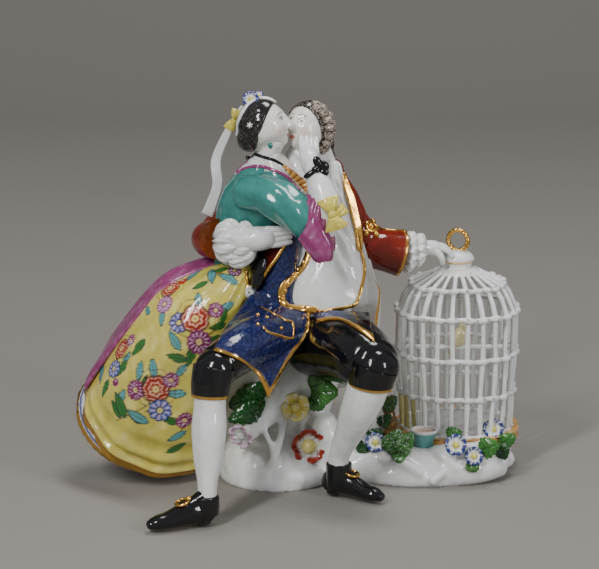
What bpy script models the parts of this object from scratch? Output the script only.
"""Seated porcelain couple beside a domed birdcage, fused into one solid.

The figures are modelled for a group 134 mm high, in units of one 134th of GROUP_HEIGHT,
and face -Y. The base and the birdcage have sizes of their own.
"""

import math

import bmesh
import bpy
from mathutils import Euler, Matrix, Vector
from mathutils.bvhtree import BVHTree

MM = 0.001

# Driving sizes, in millimetres
GROUP_HEIGHT = 134.0        # table to the flower in the lady's hair
BASE_HEIGHT = 12.0          # table to the ground that the cage stands on
CAGE_X = 54.5               # cage axis, from the middle of the rock seat
CAGE_Y = 16.0
CAGE_DIAMETER = 40.5        # middle of the bars, at the shoulder
CAGE_FOOT_DIAMETER = 37.5   # middle of the bars, at the floor board
CAGE_WALL_HEIGHT = 41.5     # floor board to shoulder hoop
DOME_HEIGHT = 14.0          # shoulder hoop to collar
BAR_WIDTH = 1.7
BAR_COUNT = 24
BOARD_DIAMETER = 43.5
BOARD_THICKNESS = 2.2
CROWN_DIAMETER = 15.6       # where the bars run together under the cap
COLLAR_DIAMETER = 10.6
CAP_HEIGHT = 6.6
RING_DIAMETER = 7.2         # middle of the wire
RING_WIRE = 1.7
BOWL_DIAMETER = 9.4
BOWL_HEIGHT = 3.6
PERCH_DIAMETER = 1.8
SHEET = 1.6                 # modelled cloth
OVERSKIRT = 3.8             # bunched cloth behind the skirt
CURL_COUNT = 5              # side curls of the gentleman
SINK = 0.7                  # how far luted pieces run into each other
FOOT_GAP = 0.6              # shoe soles above the table
CUT_BELOW = 3.0             # rough base left below the table, cut off flat
TRIANGLES = 9900            # faces kept in the finished solid

FIGURE = GROUP_HEIGHT / 134.0
BOARD_Z = BASE_HEIGHT + BOARD_THICKNESS
SHOULDER_Z = BOARD_Z + CAGE_WALL_HEIGHT
COLLAR_Z = SHOULDER_Z + DOME_HEIGHT
CAP_Z = COLLAR_Z + CAP_HEIGHT
TOWARDS_VIEWER = Vector((0.0, -1.0, 0.0))
UP = Vector((0.0, 0.0, 1.0))


def porcelain():
    """White glazed porcelain."""
    material = bpy.data.materials.new("porcelain")
    material.use_nodes = True
    shader = material.node_tree.nodes["Principled BSDF"]
    shader.inputs["Base Color"].default_value = (0.80, 0.80, 0.77, 1.0)
    shader.inputs["Roughness"].default_value = 0.12
    shader.inputs["Metallic"].default_value = 0.0
    return material


def collection(name):
    """New collection in the scene."""
    made = bpy.data.collections.new(name)
    bpy.context.scene.collection.children.link(made)
    return made


class Clay:
    """Raw pieces, each a closed mesh given in millimetres, waiting to be luted together."""

    def __init__(self, name):
        """Start with an empty collection."""
        self.pieces = collection(name)

    def add(self, name, mesh):
        """Keep a mesh as a piece, at real size."""
        mesh.transform(Matrix.Scale(MM, 4))
        shape = bpy.data.objects.new(name, mesh)
        self.pieces.objects.link(shape)
        return shape

    def add_shell(self, name, shell):
        """Keep a closed bmesh as a piece, in triangles, with its faces pointing out."""
        bmesh.ops.remove_doubles(shell, verts=shell.verts, dist=1e-4)
        bmesh.ops.triangulate(shell, faces=shell.faces)
        bmesh.ops.recalc_face_normals(shell, faces=shell.faces)
        mesh = bpy.data.meshes.new(name)
        shell.to_mesh(mesh)
        shell.free()
        return self.add(name, mesh)

    def add_modified(self, name, mesh, *modifiers):
        """Keep the result of (type, settings) modifiers on a mesh given in millimetres."""
        rough = bpy.data.objects.new(name + "_rough", mesh)
        self.pieces.objects.link(rough)
        for kind, settings in modifiers:
            modifier = rough.modifiers.new(kind.lower(), kind)
            for key, value in settings.items():
                setattr(modifier, key, value)
        view = bpy.context.evaluated_depsgraph_get()
        finished = bpy.data.meshes.new_from_object(rough.evaluated_get(view))
        bpy.data.objects.remove(rough)
        shell = bmesh.new()
        shell.from_mesh(finished)
        return self.add_shell(name, shell)


def spline(rows, steps):
    """Catmull-Rom rows through rows of numbers, with steps intervals in each span."""
    padded = [rows[0], *rows, rows[-1]]
    smooth = []
    for index in range(1, len(padded) - 2):
        before, start, end, after = padded[index - 1:index + 3]
        for step in range(steps):
            t = step / steps
            smooth.append(tuple(
                0.5 * (2 * b + (c - a) * t + (2 * a - 5 * b + 4 * c - d) * t ** 2
                       + (3 * b - a - 3 * c + d) * t ** 3)
                for a, b, c, d in zip(before, start, end, after)))
    smooth.append(tuple(rows[-1]))
    return smooth


def skin(clay, name, rings, sides, wave=None):
    """Closed skin over rings (centre, half axis, half axis); wave scales it by level and angle."""
    shell = bmesh.new()
    loops = []
    for level, (centre, along, across) in enumerate(rings):
        loop = []
        for side in range(sides):
            angle = math.tau * side / sides
            swell = wave(level / (len(rings) - 1), angle) if wave else 1.0
            offset = along * math.cos(angle) + across * math.sin(angle)
            loop.append(shell.verts.new(centre + offset * swell))
        loops.append(loop)
    for lower, upper in zip(loops, loops[1:]):
        for side in range(sides):
            after = (side + 1) % sides
            shell.faces.new((lower[side], lower[after], upper[after], upper[side]))
    shell.faces.new(loops[0])
    shell.faces.new(loops[-1])
    return clay.add_shell(name, shell)


def loft(clay, name, stations, sides, steps=1, front=TOWARDS_VIEWER, wave=None):
    """Skin over stations (x, y, z, half width, half depth), square to their own path."""
    rows = spline(stations, steps)
    centres = [Vector(row[:3]) for row in rows]
    rings = []
    for index, row in enumerate(rows):
        path = centres[min(index + 1, len(rows) - 1)] - centres[max(index - 1, 0)]
        side = path.cross(front).normalized()
        depth = side.cross(path).normalized()
        rings.append((centres[index] * FIGURE, side * row[3] * FIGURE, depth * row[4] * FIGURE))
    return skin(clay, name, rings, sides, wave)


def limb(clay, name, stations, sides=9, steps=1):
    """Round limb through stations (x, y, z, radius)."""
    return loft(clay, name, [(*row, row[3]) for row in stations], sides, steps)


def ball(clay, name, centre, radii, turn=(0, 0, 0), segments=8, rings=6):
    """Ellipsoid with three half axes, turned by degrees about X, Y and Z."""
    shell = bmesh.new()
    bmesh.ops.create_uvsphere(shell, u_segments=segments, v_segments=rings, radius=FIGURE)
    turned = Euler([math.radians(angle) for angle in turn]).to_matrix().to_4x4()
    place = Matrix.Translation(Vector(centre) * FIGURE) @ turned @ Matrix.Diagonal((*radii, 1.0))
    bmesh.ops.transform(shell, matrix=place, verts=shell.verts)
    return clay.add_shell(name, shell)


def cloth(clay, name, rows, steps=2, thickness=SHEET):
    """Sheet of even thickness through a grid of points (x, y, z)."""
    across = [spline(row, steps) for row in rows]
    lines = [spline(list(line), steps) for line in zip(*across)]
    shell = bmesh.new()
    grid = [[shell.verts.new(Vector(point) * FIGURE) for point in line] for line in lines]
    for first, second in zip(grid, grid[1:]):
        for index in range(len(first) - 1):
            shell.faces.new((first[index], first[index + 1], second[index + 1], second[index]))
    mesh = bpy.data.meshes.new(name)
    shell.to_mesh(mesh)
    shell.free()
    solid = ("SOLIDIFY", {"thickness": thickness, "offset": 0.0, "use_even_offset": True})
    return clay.add_modified(name, mesh, solid)


def disc_frame(normal):
    """Two unit vectors square to a direction."""
    direction = Vector(normal).normalized()
    helper = UP if abs(direction.z) < 0.9 else Vector((1.0, 0.0, 0.0))
    along = helper.cross(direction).normalized()
    return direction, along, direction.cross(along)


def blossom(clay, name, root, normal, radius, stem=0.8, petals=5):
    """Applied blossom: a stem from its root, a scalloped saucer and a boss."""
    direction, along, across = disc_frame(normal)
    middle = Vector(root) + direction * radius * stem
    levels = ((-stem - 0.5, 0.30), (-0.30, 0.45), (0.25, 1.0), (0.05, 0.45), (0.45, 0.30))
    rings = [((middle + direction * radius * depth) * FIGURE, along * radius * share * FIGURE,
              across * radius * share * FIGURE) for depth, share in levels]

    def scallop(level, angle):
        """Notches between the petals, on the rim alone."""
        on_rim = abs(level - 0.5) < 0.1
        return 1.0 - 0.28 * on_rim * (0.5 - 0.5 * math.cos(petals * angle))

    return skin(clay, name, rings, petals * 2, scallop)


def leaf(clay, name, root, tip, width, thickness=1.5):
    """Applied leaf: a pointed lens from its root to its tip."""
    start = Vector(root)
    path = Vector(tip) - start
    side = path.cross(Vector((0, -1, 0.4))).normalized()
    depth = side.cross(path).normalized()
    shares = ((0.0, 0.45), (0.45, 1.0), (0.78, 0.75), (1.0, 0.1))
    rings = [((start + path * along) * FIGURE, side * width / 2 * share * FIGURE,
              depth * thickness / 2 * FIGURE) for along, share in shares]
    return skin(clay, name, rings, 5)


def rock(clay):
    """Rock seat, ground under the cage and ground behind the lady, to be cut flat below."""
    bottom = -CUT_BELOW / FIGURE
    level = BASE_HEIGHT / 12.0 / FIGURE
    masses = {
        "seat_foot": [(-8, 2, bottom, 18.6, 18), (-8, 2, 3, 19.4, 18.6), (-8, 2, 9, 19, 17.6),
                      (-8, 2.4, 14, 16, 15), (-7, 3, 19, 13, 11)],
        "seat_trunk": [(-8, 4, 10, 15, 13), (-4, 4, 20, 14, 12.6), (0, 4, 31, 13, 12),
                       (3, 6, 45, 14, 12), (4, 6, 55, 11, 9)],
        "cage_ground": [(42, 12, bottom, 32, 26.4), (42, 12, 3 * level, 32.6, 27),
                        (43, 13.4, 8.5 * level, 30.6, 25.4), (46, 14.4, 12 * level, 27, 23)],
        "lady_ground": [(-24, 15, bottom, 26, 21), (-24, 15, 4, 26, 21), (-22, 14, 13, 22, 17),
                        (-20, 12, 30, 15, 12), (-18, 9, 48, 12, 10)],
    }
    for name, stations in masses.items():
        level_rings = [(Vector((x, y, z)) * FIGURE, Vector((width, 0, 0)) * FIGURE,
                        Vector((0, depth, 0)) * FIGURE) for x, y, z, width, depth in stations]
        skin(clay, name, level_rings, 16)
    branches = {
        "bough": [(1, -3, 40, 5.4), (-4, -9, 33, 5.6), (-9, -12, 26, 5.4), (-15, -14, 20.5, 4.2),
                  (-18, -15, 18, 2.4)],
        "stump": [(4, -4, 43, 6.2), (3.6, -6.5, 36, 5.0), (4, -7, 28, 5.0)],
        "twig_left": [(-11, -15, 22, 1.7), (-8, -17, 15.5, 1.5), (-6, -16.4, 10, 1.8)],
        "twig_right": [(-4, -12, 26, 1.9), (-4.6, -15, 19, 1.9), (-6, -16, 11, 2.2)],
        "rise": [(8, -8, 22, 4.4), (10, -8, 14, 5.2), (9, -7, 6, 5.2)],
        "shore": [(17, -4, 3, 6.6), (24, -4, 6, 6.4), (32, -3, 8, 6.0)],
        "cage_front": [(40, -7, 3, 6), (52, -9, 4, 6), (62, -8, 4.5, 5.4), (68, -3, 5, 4.6)],
    }
    for name, stations in branches.items():
        limb(clay, name, stations, 7)


def seated_on(clay):
    """Depth of the raw rock that a level ray from the viewer meets, as a function of x and z."""
    shell = bmesh.new()
    for shape in clay.pieces.objects:
        shell.from_mesh(shape.data)
    tree = BVHTree.FromBMesh(shell)
    shell.free()

    def depth(x, z):
        """Y of the rock at x and z, in figure units."""
        start = Vector((x, -100.0, z)) * FIGURE * MM
        return tree.ray_cast(start, -TOWARDS_VIEWER)[0].y / FIGURE / MM

    return depth


def luted_flowers(clay):
    """Blossoms and leaves on the rock, each seated on the surface behind it."""
    depth = seated_on(clay)
    blossoms = (
        # x, z, direction, radius, stem length over radius
        (-1.2, 28.2, (0.05, -1, 0.12), 5.2, 0.7), (3.2, 14.4, (0.1, -1, 0.20), 5.6, 0.4),
        (-19.4, 19.0, (-0.8, -0.6, 0.3), 3.2, 0.4), (21.0, 10.0, (0.08, -1, 0.60), 3.7, 0.8),
        (48.4, 9.5, (0, -1, 0.55), 4.0, 0.9), (54.8, 8.3, (0.2, -1, 0.36), 3.6, 0.6),
        (62.6, 9.2, (0.15, -1, 0.75), 4.0, 1.0),
    )
    for number, (x, z, normal, radius, stem) in enumerate(blossoms, 1):
        blossom(clay, f"blossom_{number}", (x, depth(x, z), z), normal, radius, stem)
    leaves = (
        # root x, z, tip x, z, width, tip towards the viewer
        (-11.0, 27.0, -20.5, 32.0, 10.0, 1.5), (-12.0, 24.0, -20.5, 25.0, 8.0, 1.0),
        (4.0, 34.0, 10.0, 37.5, 8.5, 3.0), (5.0, 31.0, 13.5, 31.0, 9.0, 3.0),
        (4.0, 30.0, 8.0, 26.5, 6.0, 2.5), (25.0, 8.0, 30.0, 18.0, 7.0, 2.0),
        (28.0, 9.0, 36.5, 17.5, 7.0, 1.5), (27.0, 8.5, 34.5, 12.0, 8.0, 3.0),
        (19.0, 8.0, 22.0, 17.5, 5.0, 1.0), (47.0, 9.0, 43.0, 19.5, 5.0, 1.0),
        (56.0, 7.0, 61.0, 13.0, 6.0, 3.0), (55.0, 6.0, 56.5, 2.0, 6.0, 3.0),
        (65.0, 6.5, 69.5, 5.0, 6.0, 3.0), (66.0, 6.0, 69.0, 14.0, 5.0, 2.0),
    )
    for number, (x, z, tip_x, tip_z, width, out) in enumerate(leaves, 1):
        root = Vector((x, depth(x, z) + 0.6, z))
        leaf(clay, f"leaf_{number}", root, (tip_x, root.y - 0.6 - out, tip_z), width)


def cage(clay):
    """Floor board, barred wall and dome, collar, cap and hanging ring."""
    axis = Vector((CAGE_X, CAGE_Y, 0.0))
    foot, shoulder, crown, collar = (size / 2 for size in (CAGE_FOOT_DIAMETER, CAGE_DIAMETER,
                                                           CROWN_DIAMETER, COLLAR_DIAMETER))
    start = BOARD_Z - BAR_WIDTH / 2
    hoops = (
        (start, foot),
        (start + 0.33 * (SHOULDER_Z - start), foot + 0.45 * (shoulder - foot)),
        (start + 0.66 * (SHOULDER_Z - start), shoulder),
        (SHOULDER_Z, shoulder),
        (SHOULDER_Z + 0.64 * DOME_HEIGHT, collar + 0.68 * (shoulder - collar)),
        (COLLAR_Z - 0.2 * CAP_HEIGHT, crown),
    )
    shell = bmesh.new()
    rings = []
    for height, radius in hoops:
        turns = [math.tau * (bar + 0.5) / BAR_COUNT for bar in range(BAR_COUNT)]
        rings.append([shell.verts.new((CAGE_X + radius * math.cos(turn),
                                       CAGE_Y + radius * math.sin(turn), height))
                      for turn in turns])
    for lower, upper in zip(rings, rings[1:]):
        for bar in range(BAR_COUNT):
            after = (bar + 1) % BAR_COUNT
            shell.faces.new((lower[bar], lower[after], upper[after], upper[bar]))
    lattice = bpy.data.meshes.new("lattice")
    shell.to_mesh(lattice)
    shell.free()
    wires = ("WIREFRAME", {"thickness": BAR_WIDTH, "offset": 0.0, "use_boundary": True,
                           "use_even_offset": True, "use_replace": True})
    clay.add_modified("lattice", lattice, wires)
    board = BOARD_DIAMETER / 2
    rounded = board - BOARD_THICKNESS / 2
    turned(clay, "board", axis, ((0, BASE_HEIGHT - SINK), (rounded, BASE_HEIGHT - SINK),
                                 (board, BASE_HEIGHT + BOARD_THICKNESS / 2),
                                 (rounded, BOARD_Z), (0, BOARD_Z)), 24)
    turned(clay, "cap", axis, ((0, COLLAR_Z - 0.4 * CAP_HEIGHT),
                               (crown, COLLAR_Z - 0.33 * CAP_HEIGHT),
                               (1.08 * crown, COLLAR_Z - 0.18 * CAP_HEIGHT),
                               (1.15 * collar, COLLAR_Z),
                               (0.9 * collar, COLLAR_Z + 0.25 * CAP_HEIGHT),
                               (1.04 * collar, COLLAR_Z + 0.5 * CAP_HEIGHT),
                               (0.7 * collar, COLLAR_Z + 0.85 * CAP_HEIGHT), (0, CAP_Z)), 14)
    hanging_ring(clay, axis + UP * (CAP_Z + RING_DIAMETER / 2 - SINK))
    feeding_bowl(clay)
    perched_bird(clay, axis, shoulder)


def turned(clay, name, axis, profile, sides):
    """Solid turned about an upright axis from (radius, height) points, axis to axis."""
    shell = bmesh.new()
    points = [shell.verts.new((axis.x + radius, axis.y, height)) for radius, height in profile]
    for first, second in zip(points, points[1:]):
        shell.edges.new((first, second))
    bmesh.ops.spin(shell, geom=shell.verts[:] + shell.edges[:], cent=axis, axis=UP,
                   angle=math.tau, steps=sides, use_merge=True)
    return clay.add_shell(name, shell)


def hanging_ring(clay, centre):
    """Round wire ring standing on the cap, turned a little to one side."""
    bpy.ops.mesh.primitive_torus_add(major_radius=RING_DIAMETER / 2, minor_radius=RING_WIRE / 2,
                                     major_segments=14, minor_segments=6)
    ring = bpy.context.object
    mesh = ring.data.copy()
    bpy.data.objects.remove(ring)
    lean = Euler((math.radians(90.0), 0.0, math.radians(-24.0))).to_matrix().to_4x4()
    mesh.transform(Matrix.Translation(centre) @ lean)
    return clay.add("hanging_ring", mesh)


def feeding_bowl(clay):
    """Shallow dish standing against the front of the cage."""
    radius = BOWL_DIAMETER / 2
    place = Vector((CAGE_X - 0.32 * CAGE_FOOT_DIAMETER,
                    CAGE_Y - CAGE_FOOT_DIAMETER / 2 - 0.32 * radius, 0.0))
    top = BOARD_Z + BOWL_HEIGHT
    turned(clay, "feeding_bowl", place, ((0, BASE_HEIGHT - SINK), (0.6 * radius, BASE_HEIGHT - SINK),
                                         (0.75 * radius, BOARD_Z), (radius, top - 0.2 * BOWL_HEIGHT),
                                         (radius, top), (0.82 * radius, top),
                                         (0.7 * radius, top - 0.28 * BOWL_HEIGHT),
                                         (0, top - 0.17 * BOWL_HEIGHT)), 10)


def perched_bird(clay, axis, wall):
    """Small bird on a bar that crosses the cage."""
    height = BOARD_Z + 0.66 * CAGE_WALL_HEIGHT
    reach = (wall + BAR_WIDTH / 4) / FIGURE
    middle = (axis + UP * height) / FIGURE
    bar = PERCH_DIAMETER / 2 / FIGURE
    limb(clay, "perch", [(middle.x - reach, middle.y, middle.z, bar),
                         (middle.x + reach, middle.y, middle.z, bar)], 6)
    body = middle + UP * 3.6
    ball(clay, "bird_body", body, (4.6, 2.9, 3.1), (0, -28, 0))
    ball(clay, "bird_head", body + Vector((3.6, 0, 3.4)), (2.2, 2.0, 2.1))
    limb(clay, "bird_tail", [(body.x - 3, body.y, body.z - 1.2, 1.5),
                             (body.x - 8, body.y, body.z - 4.6, 1.1)], 6)


def shoe(clay, name, heel, toe, ankle):
    """Low shoe with a heel block, a sole in line from heel to toe, and its buckle."""
    back, front, top = Vector(heel), Vector(toe), Vector(ankle)
    path = front - back
    floor = FOOT_GAP / FIGURE
    rows = ((-0.10, 3.6, 2.2, 2.6), (0.0, 4.6, 3.0, 3.9), (0.22, 4.9, 3.3, 4.2),
            (0.45, 4.2, 3.1, 3.4), (0.68, 3.3, 3.3, 2.4), (0.88, 3.0, 2.9, 2.0),
            (1.0, 2.6, 1.6, 1.3))
    stations = [(*(back.xy + path.xy * share), lift, width, height)
                for share, lift, width, height in rows]
    stations = [(x, y, max(z, floor + height), width, height) for x, y, z, width, height in stations]
    loft(clay, name, stations, 12, front=UP)
    limb(clay, name + "_heel", [(*(back.xy + path.xy * 0.02), floor, 2.6),
                                (*(back.xy + path.xy * 0.03), floor + 3.0, 2.4)], 8)
    limb(clay, name + "_tongue", [(*(back.xy + path.xy * 0.30), 6.5, 2.6),
                                  (top.x, top.y, top.z, 3.2)], 8)
    buckle = back.xy + path.xy * 0.36
    ball(clay, name + "_buckle", (*buckle, 8.6), (2.0, 2.0, 1.4), segments=8, rings=5)


def gentleman_legs(clay):
    """Breeches, knee bands, stockings and shoes of both legs."""
    limb(clay, "right_thigh", [(-1, -4, 56, 11), (-10, -20, 57.5, 10), (-20, -37, 56.5, 9),
                               (-26.2, -45.4, 53, 7.4)], 11)
    ball(clay, "right_knee", (-27.2, -47, 51.4), (7.2, 7.4, 7.4), segments=10, rings=7)
    limb(clay, "right_knee_band", [(-27.6, -47.6, 51, 7.0), (-28.6, -48.6, 46, 6.5),
                                   (-28.9, -49, 41.6, 6.1)], 11)
    limb(clay, "right_stocking", [(-28.9, -49, 44, 5.2), (-29, -49.5, 38, 5.3),
                                  (-29.3, -51, 31, 5.7), (-29.6, -53, 21.5, 4.7),
                                  (-29.8, -55, 13.7, 3.2), (-30, -55.5, 6, 3.4)])
    limb(clay, "left_thigh", [(8, -4, 56, 11), (15, -18, 55.5, 11), (22, -31, 52.5, 9.6),
                              (25, -36.4, 49.4, 8.0)], 11)
    ball(clay, "left_knee", (25.4, -37.2, 47.6), (7.8, 7.8, 7.4), segments=10, rings=7)
    limb(clay, "left_knee_band", [(25.6, -37.8, 47.6, 7.6), (24.6, -37.8, 44, 7.8),
                                  (23.4, -37.4, 40.4, 7.7)], 11)
    limb(clay, "left_stocking", [(23.9, -37.4, 44, 6.8), (21.5, -36, 35, 6.8),
                                 (19.8, -34, 29.8, 6.4), (16.6, -30.6, 18.6, 4.6),
                                 (14.9, -28.6, 12.5, 3.6), (14.3, -28, 6, 3.6)])
    shoe(clay, "right_shoe", (-31, -55.5, 0), (-48, -63, 0), (-30.3, -55.6, 9.5))
    shoe(clay, "left_shoe", (13.4, -26.5, 0), (28.2, -36.5, 0), (14.6, -28.2, 9.5))


def gentleman_body(clay):
    """Coat, neck, head with its curled hair, and the open front."""
    loft(clay, "coat_body", [(5, 4, 44, 14, 11), (6, 4, 54, 14, 11), (8, 3.5, 64, 13, 10),
                             (8.6, 3.5, 74, 12.5, 9.5), (9.3, 3.8, 84, 13.4, 9.8),
                             (9, 4.6, 92, 13.4, 9), (9.3, 5.2, 98, 10.8, 7.4),
                             (9.6, 5.4, 103, 7.4, 5.8), (10, 5.2, 107, 4.9, 4.6)], 12)
    loft(clay, "coat_back", [(8, 17, 36, 19, 9), (8, 15.5, 48, 18, 10), (8, 12, 62, 16.5, 9.5),
                             (9, 9, 78, 13.6, 8), (9.5, 8, 90, 12.6, 6.4),
                             (9.6, 8, 98, 8.6, 4.6)], 12)
    cloth(clay, "coat_skirt", [[(22, -6, 86), (23.5, -3, 84), (22.5, 3, 84)],
                               [(23, -4, 76), (25, 0, 74), (24, 8, 73)],
                               [(24, -1, 64), (27.2, 5, 62), (25, 15, 60)],
                               [(23, 1, 52), (26.6, 7, 49), (25, 18, 46)],
                               [(22, 2, 44), (26, 8, 40), (24, 19, 36)]])
    limb(clay, "gentleman_neck", [(10, 5.4, 102, 4.8), (7.6, 4.6, 109, 4.5), (4.6, 3.2, 116, 4.6)])
    ball(clay, "gentleman_head", (2.8, 1.8, 120.8), (7.2, 8.0, 9.2), (14, 0, -24), 12, 9)
    ball(clay, "gentleman_jaw", (1.0, -2.2, 116.2), (4.6, 4.4, 4.2), (0, 0, -24))
    limb(clay, "gentleman_nose", [(-0.6, -5.8, 122.8, 0.8), (-1.6, -7.2, 120.0, 1.3)], 5)
    ball(clay, "gentleman_hair", (5.0, 4.8, 122.2), (7.0, 7.4, 8.2), (14, 0, -24), 10, 8)
    for turn in range(CURL_COUNT):
        angle = math.radians(-34 + 26 * turn)
        ball(clay, f"gentleman_curl_{turn + 1}",
             (5.6 + 4.8 * math.cos(angle), 1.6 + 0.9 * turn, 120.0 + 7.4 * math.sin(angle)),
             (2.4, 3.4, 2.2), segments=7, rings=5)
    limb(clay, "gentleman_queue", [(7.5, 8, 119, 3.4), (9, 9.4, 110, 3.0), (9.6, 11.4, 101, 2.6),
                                   (9.6, 12.4, 93, 1.8)], 8)


def gentleman_front(clay):
    """White waistcoat front, its buttons, and the coat edge beside them."""
    loft(clay, "shirt_front", [(8.4, -8, 62.5, 13, 5.5), (8.2, -8.4, 66, 13.6, 6),
                               (9.4, -7.6, 74, 12, 5.8), (10.6, -5.6, 84, 9.6, 5.4),
                               (10.6, -3, 93, 7, 5), (10, -0.6, 101, 4.8, 4.4),
                               (9.4, 1.2, 107, 3.6, 3.6)], 12)
    cloth(clay, "right_lapel", [[(-4, -6, 96), (-6.5, -2, 97)], [(-2.5, -13, 89), (-7, -9, 90)],
                                [(-6, -15.5, 82), (-10.5, -11, 82)],
                                [(-10.5, -16.5, 75.5), (-14, -10, 76)],
                                [(-14, -16, 70), (-16.5, -8, 71)]], 1)
    loft(clay, "right_waistcoat", [(-3, -9, 90, 4, 4), (-5, -10, 80, 5, 5), (-7, -10.5, 72, 6, 6),
                                   (-8, -11, 64, 7.5, 6.5), (-6, -12, 57, 9, 6)], 10)
    cloth(clay, "right_flap", [[(-13.5, -12, 65.5), (-6, -18, 66.5), (3, -20, 63.5)],
                               [(-17.5, -22, 64.5), (-9, -26, 68.5), (1.5, -26, 61.5)],
                               [(-21.3, -33, 58.5), (-13, -36, 63.5), (-3, -35, 55)],
                               [(-16, -41.5, 54.5), (-11.5, -43.5, 48.5), (-7.5, -42.5, 44)],
                               [(-13, -42.5, 46.5), (-10, -43.4, 41), (-7.2, -42.4, 40.6)]])
    cloth(clay, "left_flap", [[(5, -16, 64), (13, -14, 64.5), (20, -6, 64)],
                              [(9, -24, 65), (17, -22, 65.5), (25, -12, 60)],
                              [(14, -32, 61.5), (22, -31, 61), (29, -20, 54)]])


def gentleman_arms(clay):
    """Left arm out to the cage, right arm round the lady's waist."""
    rest = Vector((CAGE_X - 5.2, CAGE_Y - 3.5, CAP_Z - 0.6)) / FIGURE
    limb(clay, "left_upper_arm", [(13, 5, 96, 7.2), (19, 5.4, 90, 6.8), (24, 5, 84.5, 6.4),
                                  (27, 5, 80, 6.6)])
    loft(clay, "left_cuff", [(23.5, 5, 80.5, 5.6, 6.8), (27, 5, 79, 7.0, 7.0),
                             (31, 6, 78, 7.6, 7.4), (35.6, 7.2, 76.6, 8.2, 7.6)], 11)
    ball(clay, "left_ruffle_wide", (37.4, 8, 77.0), (2.6, 6.0, 6.4), (0, 8, 12))
    ball(clay, "left_ruffle_narrow", (40.6, 8.6, 77.4), (2.6, 4.8, 5.4), (0, 8, 12))
    limb(clay, "left_hand", [(38, 8.4, 78, 3.0), (43, 9.8, 78.2, 2.7),
                             (rest.x - 3.4, rest.y - 1.2, rest.z + 0.6, 3.0),
                             (rest.x, rest.y, rest.z - 0.6, 2.6),
                             (rest.x + 3.2, rest.y + 1.6, rest.z - 1.6, 1.6)])
    limb(clay, "left_thumb", [(rest.x - 2.6, rest.y - 2.2, rest.z, 1.3),
                              (rest.x - 0.8, rest.y - 3.4, rest.z - 2.6, 1.2),
                              (rest.x - 0.2, rest.y - 2.6, rest.z - 4.6, 0.9)], 6)
    limb(clay, "right_sleeve", [(2, 8, 96, 6.6), (-9, 11, 93, 6.6), (-20, 11.5, 88, 6.4),
                                (-28, 7, 84.4, 6.0)])
    ball(clay, "right_elbow", (-29.4, 4.6, 84.0), (6.2, 6.6, 6.2), segments=10, rings=7)
    limb(clay, "right_cuff", [(-30.4, 3, 83.8, 5.8), (-28.8, -5.6, 84.8, 6.6),
                              (-26.4, -8.8, 85.6, 7.0)])
    ball(clay, "right_ruffle_wide", (-23.2, -11.4, 84.8), (5.4, 5.8, 7.2), (0, 0, -22), 10, 7)
    ball(clay, "right_ruffle_narrow", (-18.2, -13.2, 84.6), (4.2, 5.0, 7.0), (0, 0, -16), 10, 7)
    limb(clay, "right_hand", [(-20, -14, 86, 4.2), (-14, -15.2, 86.6, 4.4), (-8.6, -15.6, 87.4, 3.6),
                              (-4.6, -15, 88.2, 2.4), (-2.6, -13.6, 88.8, 1.4)])


def lady_body(clay):
    """Bodice, neck, head and dressed hair with its flower, bow and lappet."""
    loft(clay, "bodice", [(-20.5, -1.5, 73, 8.6, 8), (-20.5, -1.5, 79, 8.6, 8),
                          (-18, -2, 86, 10.6, 9), (-15.2, -3, 94, 12.2, 10),
                          (-14.4, -3.5, 100, 11, 9.6), (-13.8, -4, 104.6, 8.2, 8),
                          (-12.6, -4.5, 109, 5.0, 5.0)], 12)
    cloth(clay, "peplum", [[(-27, 4, 88), (-28.5, -3, 88), (-23, -9.5, 88), (-14, -12, 87)],
                           [(-29, 6, 84.5), (-30.2, -4, 85), (-24.5, -12, 84.5), (-13, -14, 83.5)]], 2)
    limb(clay, "lady_neck", [(-12.8, -4.6, 106, 4.6), (-11.4, -5, 112, 4.0), (-9, -5.6, 118, 4.4)])
    ball(clay, "lady_head", (-11.4, -5.8, 122.8), (7.6, 6.6, 8.8), (0, -28, 0), 12, 9)
    ball(clay, "lady_jaw", (-5.8, -6.6, 118.2), (5.0, 4.4, 3.6), (0, 36, 0))
    limb(clay, "lady_nose", [(-5.4, -7, 125.6, 0.8), (-3.2, -7.2, 123.0, 1.2)], 5)
    ball(clay, "lady_hair", (-15.4, -5.2, 124.2), (6.6, 7.6, 8.6), (0, 12, 0), 12, 9)
    ball(clay, "lady_chignon", (-16.2, -4.6, 118.8), (4.4, 5.4, 4.0), (0, 12, 0))
    blossom(clay, "hair_blossom", (-16.0, -5.6, 130.6), (-0.2, -0.6, 0.8), 3.4, 0.6)
    ball(clay, "hair_knot", (-22.4, -1.4, 124.6), (1.9, 2.2, 3.6), (0, 24, 0))
    cloth(clay, "lappet", [[(-19.4, 1.6, 128.6), (-17.8, 0.4, 128.0)],
                           [(-22.9, 2, 123.6), (-20.6, 0.8, 122.6)],
                           [(-26.6, 2.4, 117.4), (-24.0, 1.4, 116.0)],
                           [(-29.8, 2.6, 109.6), (-26.4, 2, 109.2)],
                           [(-29.4, 2.4, 101.6), (-25.8, 2, 101.8)],
                           [(-31.4, 2.6, 95.6), (-27.8, 2, 94.4)],
                           [(-33.2, 3, 91.6), (-29.4, 2.6, 90.0)]], 1)


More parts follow.
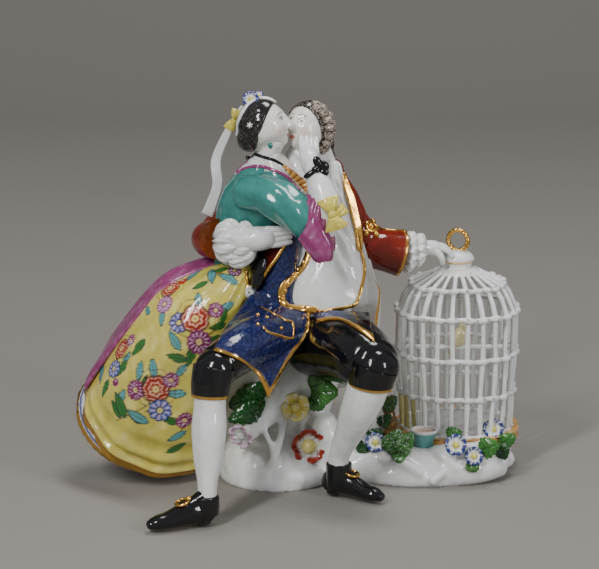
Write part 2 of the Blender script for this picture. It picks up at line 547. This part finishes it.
def lady_arm(clay):
    """Sleeve with its flounce and bow, and the hand raised to the gentleman's cheek."""
    limb(clay, "lady_sleeve", [(-17.4, -10, 101, 6.2), (-11.7, -13.6, 101.4, 6.6),
                               (-6.4, -17, 99.7, 6.7), (-1.2, -20.4, 97.0, 6.8),
                               (3.6, -23.4, 94.4, 7.0)], 11)
    cloth(clay, "flounce", [[(4.8, -20.5, 101.5), (4.4, -29.4, 97.5), (-0.5, -29.5, 89.5)],
                            [(7.4, -21, 97.5), (7.2, -31, 93), (1.8, -31.5, 86.5)],
                            [(10.4, -21.5, 91.5), (9.6, -31.6, 87.5), (3.8, -32, 84)],
                            [(10.8, -22, 85), (9.4, -31, 82.5), (4.8, -31.4, 82.4)]], 1)
    limb(clay, "flounce_core", [(2.6, -23, 95, 6.2), (6.2, -25, 92, 5.8), (7.6, -25.8, 87.5, 4.6)])
    ball(clay, "bow_upper", (9.4, -29.6, 101.8), (3.8, 2.4, 2.8), (0, 20, 0))
    ball(clay, "bow_lower", (12.2, -30, 95.4), (3.8, 2.4, 2.8), (0, 20, 0))
    ball(clay, "bow_knot", (10.2, -30, 98.6), (1.8, 1.8, 1.8), segments=6, rings=5)
    limb(clay, "lady_forearm", [(7.4, -25.6, 92, 4.8), (9.4, -25.4, 99.4, 4.8), (8.3, -23, 104.8, 4.4),
                                (6.8, -20.2, 109.2, 3.4), (5.6, -17.8, 112.6, 3.0)])
    limb(clay, "lady_hand", [(5.6, -18.2, 111.6, 3.0), (4.2, -15.6, 114.8, 3.6),
                             (3.0, -12.4, 118.4, 3.4), (2.2, -9.4, 121.6, 2.4),
                             (2.0, -7.4, 123.6, 1.4)])
    ball(clay, "wrist_ribbon", (7.4, -20.6, 111.2), (2.6, 2.2, 2.6))


def skirt_rings(swell=1.0, lift=0.0):
    """Rings of the hooped skirt: centre, half axis to the upper edge, half axis to the viewer."""
    rows = (
        # upper edge (x, z), inner edge (x, z), middle y, depth, dip in degrees
        ((-24.4, 77.0), (-12.6, 76.0), -3.0, 8.0, 0.0),
        ((-35.0, 73.7), (-14.0, 68.3), -3.0, 14.0, 4.0),
        ((-46.6, 68.0), (-15.6, 57.5), -3.0, 19.0, 10.0),
        ((-55.0, 58.6), (-18.6, 46.6), -2.0, 22.0, 16.0),
        ((-62.4, 48.5), (-22.0, 34.6), -1.0, 24.0, 21.0),
        ((-67.8, 39.8), (-26.0, 22.6), 0.5, 24.5, 26.0),
        ((-71.6, 33.4), (-29.0, 11.6), 2.0, 24.0, 31.0),
        ((-73.6, 29.6), (-30.4, 8.0), 3.0, 23.2, 34.0),
    )
    rings = []
    for upper, inner, middle, depth, dip in rows:
        top = Vector((upper[0], middle, upper[1]))
        low = Vector((inner[0], middle, inner[1]))
        along = (top - low) / 2 * swell
        down = along.cross(TOWARDS_VIEWER).normalized()
        angle = math.radians(dip)
        across = (TOWARDS_VIEWER * math.cos(angle) - down * math.sin(angle)) * depth * swell
        centre = (top + low) / 2 + along.normalized() * lift
        rings.append((centre * FIGURE, along * FIGURE, across * FIGURE))
    return rings


def fold(level, angle):
    """Soft folds of the skirt, deeper towards its hem."""
    return 1.0 + 0.02 * level * math.cos(9 * angle + 1.2) + 0.012 * level * math.cos(5 * angle)


def lady_skirt(clay):
    """Hooped skirt, petticoat under its hem, and the overskirt turned back behind it."""
    rings = skirt_rings()
    skin(clay, "skirt", rings, 27, fold)
    centre, along, across = rings[-1]
    fall = along.cross(across).normalized()
    fall = fall if fall.z < 0 else -fall
    aside = along.normalized()
    petticoat = [(centre + fall * depth * FIGURE + aside * shift * FIGURE, along * share,
                  across * share) for depth, shift, share in
                 ((-9.0, 0.0, 0.86), (-1.0, 1.2, 0.93), (2.6, 3.0, 0.92), (5.4, 3.2, 0.84))]
    skin(clay, "petticoat", petticoat, 24)
    turns = [math.radians(angle) for angle in range(-165, 16, 20)]
    rows = [[tuple((middle + up * math.cos(turn) + out * math.sin(turn)) / FIGURE)
             for turn in turns] for middle, up, out in skirt_rings(1.03, 1.0)[:-1]]
    cloth(clay, "overskirt", rows, 1, OVERSKIRT)


def lute(clay):
    """Join every raw piece into one closed solid and drop the pieces."""
    pieces = list(clay.pieces.objects)
    body = bpy.data.objects.new("body", pieces[0].data)
    bpy.context.scene.collection.objects.link(body)
    bpy.data.objects.remove(pieces[0])
    join = body.modifiers.new("join", "BOOLEAN")
    join.operation = "UNION"
    join.operand_type = "COLLECTION"
    join.collection = clay.pieces
    join.use_self = True
    view = bpy.context.evaluated_depsgraph_get()
    mesh = bpy.data.meshes.new_from_object(body.evaluated_get(view))
    for shape in [body, *clay.pieces.objects]:
        bpy.data.objects.remove(shape)
    bpy.data.collections.remove(clay.pieces)
    return mesh


def thinned(mesh):
    """Mesh in TRIANGLES faces, left once its shortest and flattest edges are collapsed."""
    rough = bpy.data.objects.new("rough", mesh)
    bpy.context.scene.collection.objects.link(rough)
    rough.modifiers.new("split", "TRIANGULATE")
    thin = rough.modifiers.new("thin", "DECIMATE")
    thin.ratio = min(1.0, TRIANGLES / sum(len(face.vertices) - 2 for face in mesh.polygons))
    view = bpy.context.evaluated_depsgraph_get()
    result = bpy.data.meshes.new_from_object(rough.evaluated_get(view))
    bpy.data.objects.remove(rough)
    return result


def drop_crumbs(shell):
    """Delete every scrap that isn't joined to the largest body."""
    left = set(shell.verts)
    bodies = []
    while left:
        reached = [left.pop()]
        for vertex in reached:
            near = {edge.other_vert(vertex) for edge in vertex.link_edges} & left
            left -= near
            reached.extend(near)
        bodies.append(reached)
    bodies.sort(key=len)
    crumbs = [vertex for body in bodies[:-1] for vertex in body]
    bmesh.ops.delete(shell, geom=crumbs, context="VERTS")


def cut_flat(mesh):
    """Cut off everything below the table, so that the base stands flat."""
    shell = bmesh.new()
    shell.from_mesh(mesh)
    drop_crumbs(shell)
    geometry = shell.verts[:] + shell.edges[:] + shell.faces[:]
    cut = bmesh.ops.bisect_plane(shell, geom=geometry, plane_co=(0, 0, 0), plane_no=(0, 0, 1),
                                 clear_inner=True)
    edges = [item for item in cut["geom_cut"] if isinstance(item, bmesh.types.BMEdge)]
    bmesh.ops.triangle_fill(shell, use_beauty=True, edges=edges)
    bmesh.ops.triangulate(shell, faces=shell.faces[:])
    bmesh.ops.recalc_face_normals(shell, faces=shell.faces[:])
    shell.to_mesh(mesh)
    shell.free()


def centre_on_table(mesh):
    """Put the origin on the table under the middle of the group."""
    xs = [vertex.co.x for vertex in mesh.vertices]
    ys = [vertex.co.y for vertex in mesh.vertices]
    middle = Vector(((min(xs) + max(xs)) / 2, (min(ys) + max(ys)) / 2, 0.0))
    mesh.transform(Matrix.Translation(-middle))


def main():
    """Model the pieces, lute them into one solid and place it."""
    for shape in list(bpy.data.objects):
        bpy.data.objects.remove(shape)
    clay = Clay("raw_pieces")
    rock(clay)
    luted_flowers(clay)
    cage(clay)
    gentleman_legs(clay)
    gentleman_body(clay)
    gentleman_front(clay)
    gentleman_arms(clay)
    lady_body(clay)
    lady_arm(clay)
    lady_skirt(clay)
    mesh = thinned(lute(clay))
    cut_flat(mesh)
    centre_on_table(mesh)
    mesh.materials.clear()
    mesh.materials.append(porcelain())
    collection("courting_couple").objects.link(bpy.data.objects.new("courting_couple", mesh))


main()
